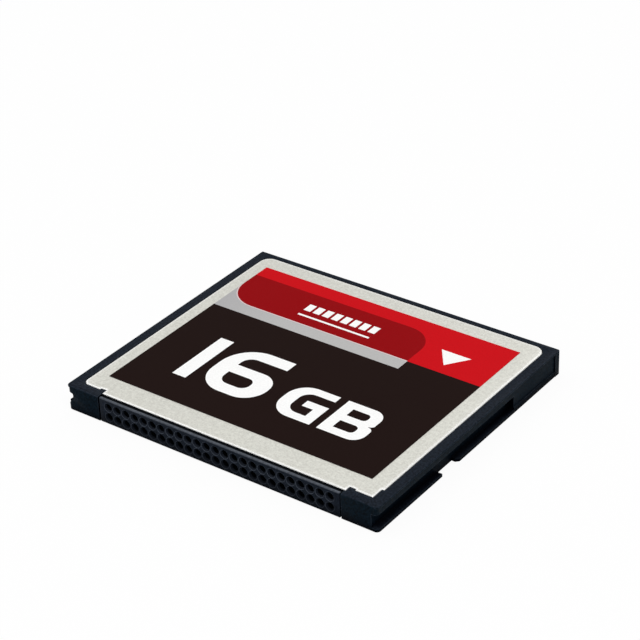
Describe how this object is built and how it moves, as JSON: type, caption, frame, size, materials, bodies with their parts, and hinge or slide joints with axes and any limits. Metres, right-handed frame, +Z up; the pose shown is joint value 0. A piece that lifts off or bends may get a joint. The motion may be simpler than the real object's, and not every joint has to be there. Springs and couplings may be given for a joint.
{
  "type": "compact flash card",
  "caption": "Flat rectangular memory card: moulded frame with side guide grooves, steel covers on both faces and a two-row socket connector across the front edge.",
  "frame": {"origin": "centre of the underside, on the plane that the lower cover rests on", "axes": "+X to the right across the card with the label up and the connector towards the viewer, +Y from the connector face to the rear, +Z up through the thickness"},
  "size_m": [0.0428, 0.0364, 0.0033],
  "materials": {
    "frame_plastic": "fine moulded grain, blue-black",
    "cover_steel": "satin rolled steel with bright sheared edges",
    "label_film": "satin printed film in black, two reds, silver and white",
    "connector_plastic": "glass-filled moulding, blue-black",
    "contact_metal": "gold flash over spring alloy",
    "bond_adhesive": "translucent bonding film",
    "insulating_film": "amber insulating film",
    "board_laminate": "green solder resist on glass laminate",
    "chip_resin": "moulded black resin",
    "lead_metal": "tin plate",
    "crystal_ceramic": "ceramic tray with a metal lid",
    "capacitor_ceramic": "fired ceramic with tinned ends",
    "resistor_ceramic": "glazed black"
  },
  "bodies": {
    "root": {"frame": "frame_plastic", "top_cover": "cover_steel", "bottom_cover": "cover_steel", "top_label": "label_film", "connector_housing": "connector_plastic", "upper_contacts": "contact_metal", "lower_contacts": "contact_metal", "upper_bond_film": "bond_adhesive", "lower_bond_film": "bond_adhesive", "upper_insulator": "insulating_film", "lower_insulator": "insulating_film", "circuit_board": "board_laminate", "flash_chip_upper": "chip_resin", "flash_leads_upper": "lead_metal", "flash_chip_lower": "chip_resin", "flash_leads_lower": "lead_metal", "controller_chip": "chip_resin", "crystal": "crystal_ceramic", "voltage_regulator": "chip_resin", "capacitors": "capacitor_ceramic", "resistors": "resistor_ceramic"}
  },
  "joints": []
}
